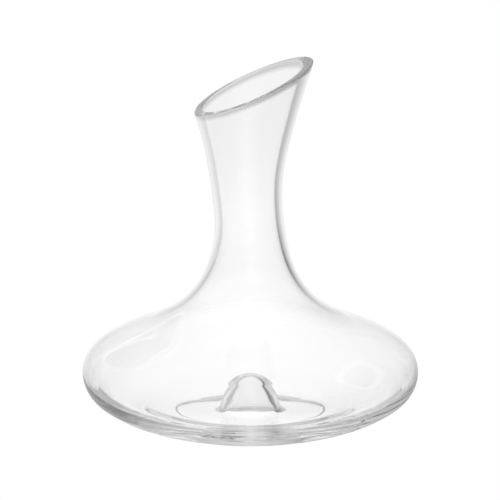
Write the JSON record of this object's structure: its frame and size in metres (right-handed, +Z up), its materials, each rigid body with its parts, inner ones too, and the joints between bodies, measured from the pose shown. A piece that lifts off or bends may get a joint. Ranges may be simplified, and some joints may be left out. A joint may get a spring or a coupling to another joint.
{
  "type": "wine decanter",
  "caption": "Clear glass wine decanter with a low wide bowl, concave shoulder, hourglass neck, slant-cut flared mouth and a thick floor with a tall hollow punt.",
  "frame": {"origin": "centre of the bearing ring, on the surface the decanter stands on", "axes": "+Z up along the bowl's axis; +X towards the high side of the slanted mouth, its pouring tip; +Y to the left when looking along +X"},
  "size_m": [0.22, 0.22, 0.2444],
  "materials": {
    "glass": "fire-polished, colourless"
  },
  "bodies": {
    "root": {"lip": "glass", "throat": "glass", "neck": "glass", "shoulder": "glass", "bowl": "glass", "heel": "glass", "base": "glass", "bearing_ring": "glass", "punt": "glass"}
  },
  "joints": []
}
